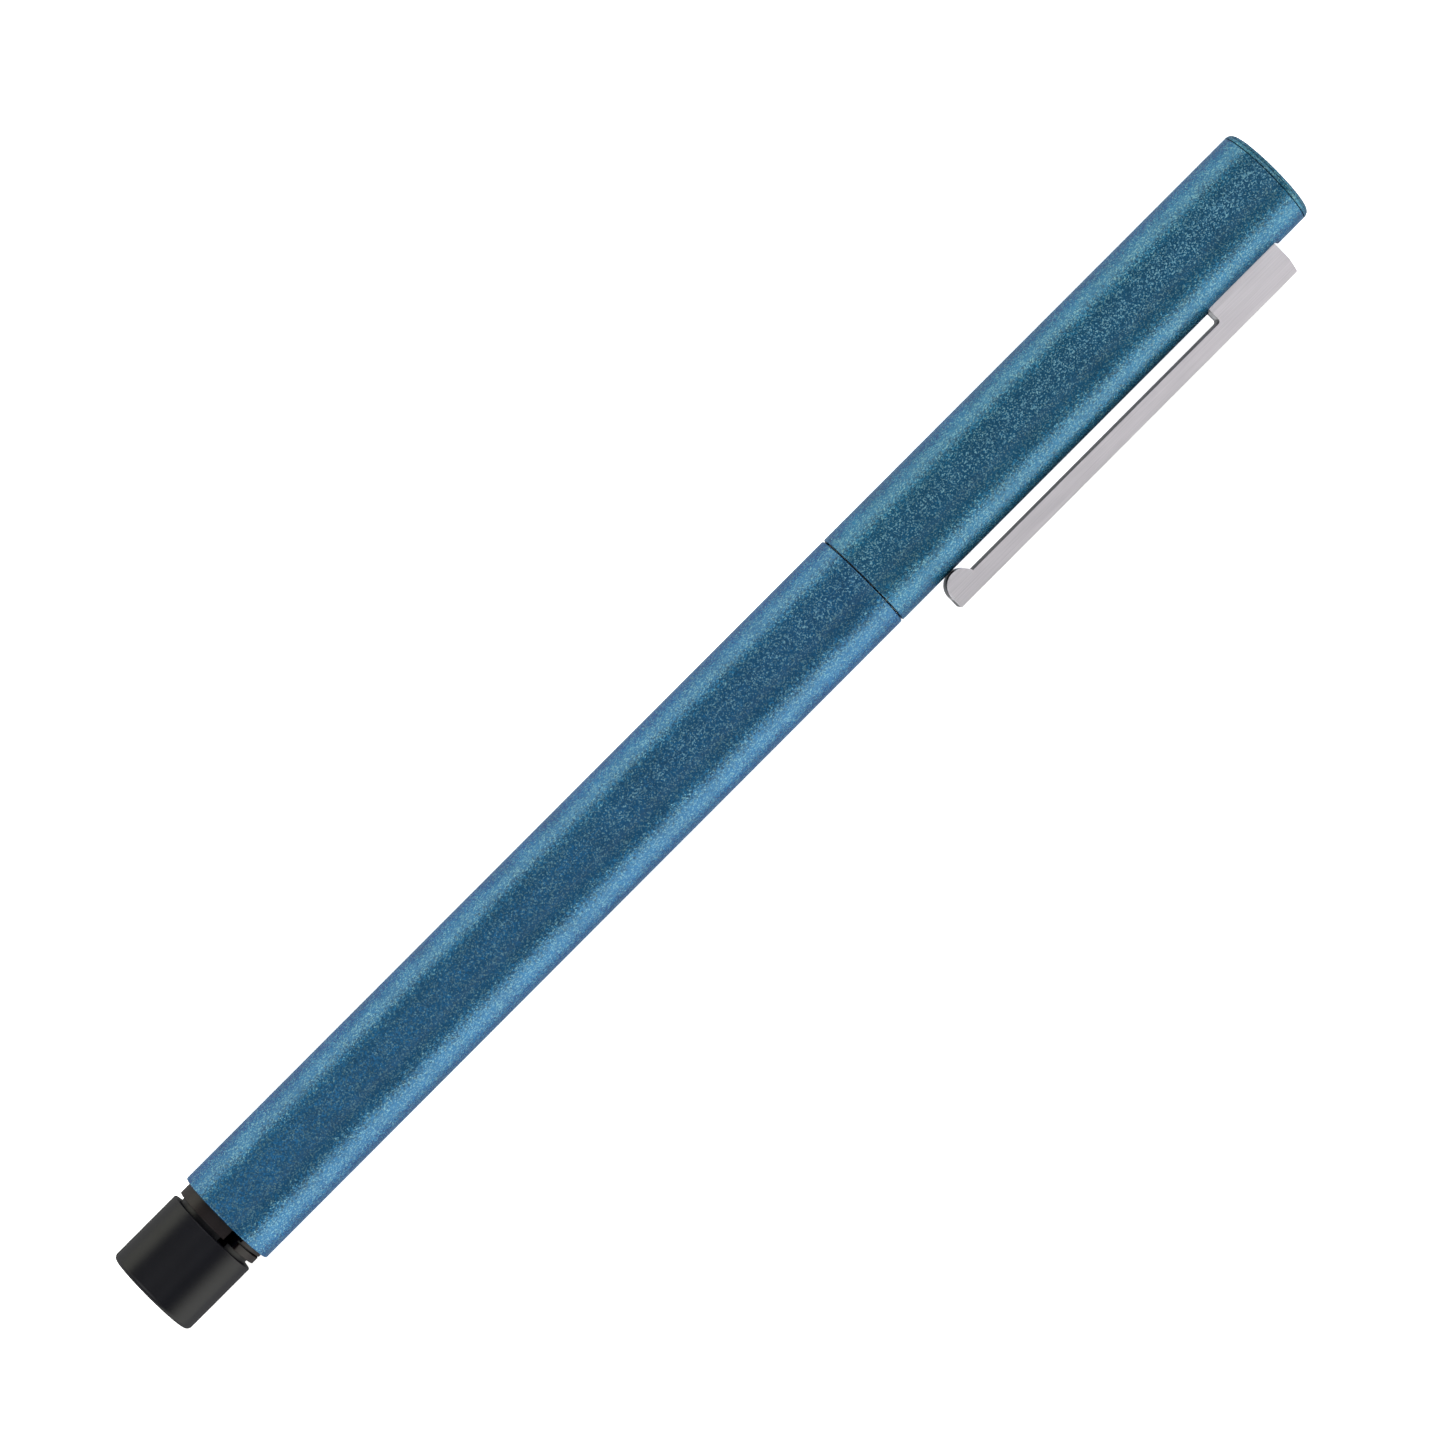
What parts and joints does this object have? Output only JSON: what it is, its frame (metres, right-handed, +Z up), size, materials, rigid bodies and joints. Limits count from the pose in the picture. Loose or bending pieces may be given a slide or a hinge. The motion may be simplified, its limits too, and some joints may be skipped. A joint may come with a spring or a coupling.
{
  "type": "technical pen",
  "caption": "Slim capped technical pen with a painted metal barrel and cap, a black tail plug, a pivoting steel clip and a sprung seal over its drawing point.",
  "frame": {"origin": "centre of the footprint on the table, with the pen lying on its barrel and on the outer corner of its clip", "axes": "+X along the pen from the tail to the cap's end, +Z up, clip towards -Y and turned down to the table"},
  "size_m": [0.134, 0.0122, 0.0095],
  "materials": {
    "blue_paint": "pearl blue lacquer with fine flakes over a drawn metal tube, satin",
    "black_plastic": "moulded black plastic, finely eroded matte surface",
    "white_plastic": "moulded off-white plastic, smooth",
    "clear_plastic": "blown translucent plastic",
    "brushed_steel": "stainless steel, brushed along the pen",
    "spring_steel": "drawn spring wire, bright",
    "brass": "turned brass, fine turning marks",
    "rubber": "moulded rubber, matte"
  },
  "bodies": {
    "barrel": {"barrel_tube": "blue_paint", "end_plug": "black_plastic", "snap_collar": "black_plastic", "barrel_bush": "brass"},
    "width_ring": {"line_width_ring": "white_plastic"},
    "section": {"grip_section": "black_plastic", "nib_body": "white_plastic", "nib_retainer": "white_plastic", "nib_seal_ring": "rubber", "nib_cone": "brushed_steel", "nib_tube": "brushed_steel"},
    "cartridge": {"ink_cartridge": "clear_plastic"},
    "weight": {"drop_weight": "brass", "cleaning_wire": "spring_steel"},
    "snap_ring": {"cap_snap_ring": "spring_steel"},
    "cap": {"cap_tube": "blue_paint", "cap_end_disc": "blue_paint", "inner_cap": "black_plastic", "seal_spring": "spring_steel", "clip_carrier": "black_plastic", "clip_pin": "spring_steel", "clip_spring": "spring_steel"},
    "seal": {"seal_plug": "rubber"},
    "clip": {"clip": "brushed_steel"}
  },
  "joints": [
    {"name": "section_travel", "type": "slide", "parent": "barrel", "child": "width_ring", "axis": [1, 0, 0], "range_m": [0, 0.0075]},
    {"name": "section_unscrew", "type": "hinge", "parent": "width_ring", "child": "section", "pos_m": [0.033, 0.00138, 0.00475], "axis": [1, 0, 0], "range_deg": [0, 2165]},
    {"name": "cartridge_pull", "type": "slide", "parent": "section", "child": "cartridge", "axis": [1, 0, 0], "range_m": [-0.0075, 0]},
    {"name": "weight_slide", "type": "slide", "parent": "section", "child": "weight", "axis": [1, 0, 0], "range_m": [-0.0018, 0]},
    {"name": "cap_turn", "type": "hinge", "parent": "section", "child": "snap_ring", "pos_m": [0.033, 0.00138, 0.00475], "axis": [1, 0, 0], "continuous": true},
    {"name": "cap_pull", "type": "slide", "parent": "snap_ring", "child": "cap", "axis": [1, 0, 0], "range_m": [0, 0.045]},
    {"name": "seal_press", "type": "slide", "parent": "cap", "child": "seal", "axis": [1, 0, 0], "range_m": [0, 0.0008], "stiffness_N_per_m": 100, "springref_m": -0.0005, "deforming": ["seal_spring"]},
    {"name": "clip_lift", "type": "hinge", "parent": "cap", "child": "clip", "pos_m": [0.06, 0.00002, 0.00412], "axis": [0, -0.4209, 0.9071], "range_deg": [0, 4], "stiffness_Nm_per_rad": 0.8, "springref_deg": -5.16, "deforming": ["clip_spring"]}
  ],
  "couplings": [
    {"joint": "section_unscrew", "follows": "section_travel", "rad_per_m": 5026.5}
  ]
}
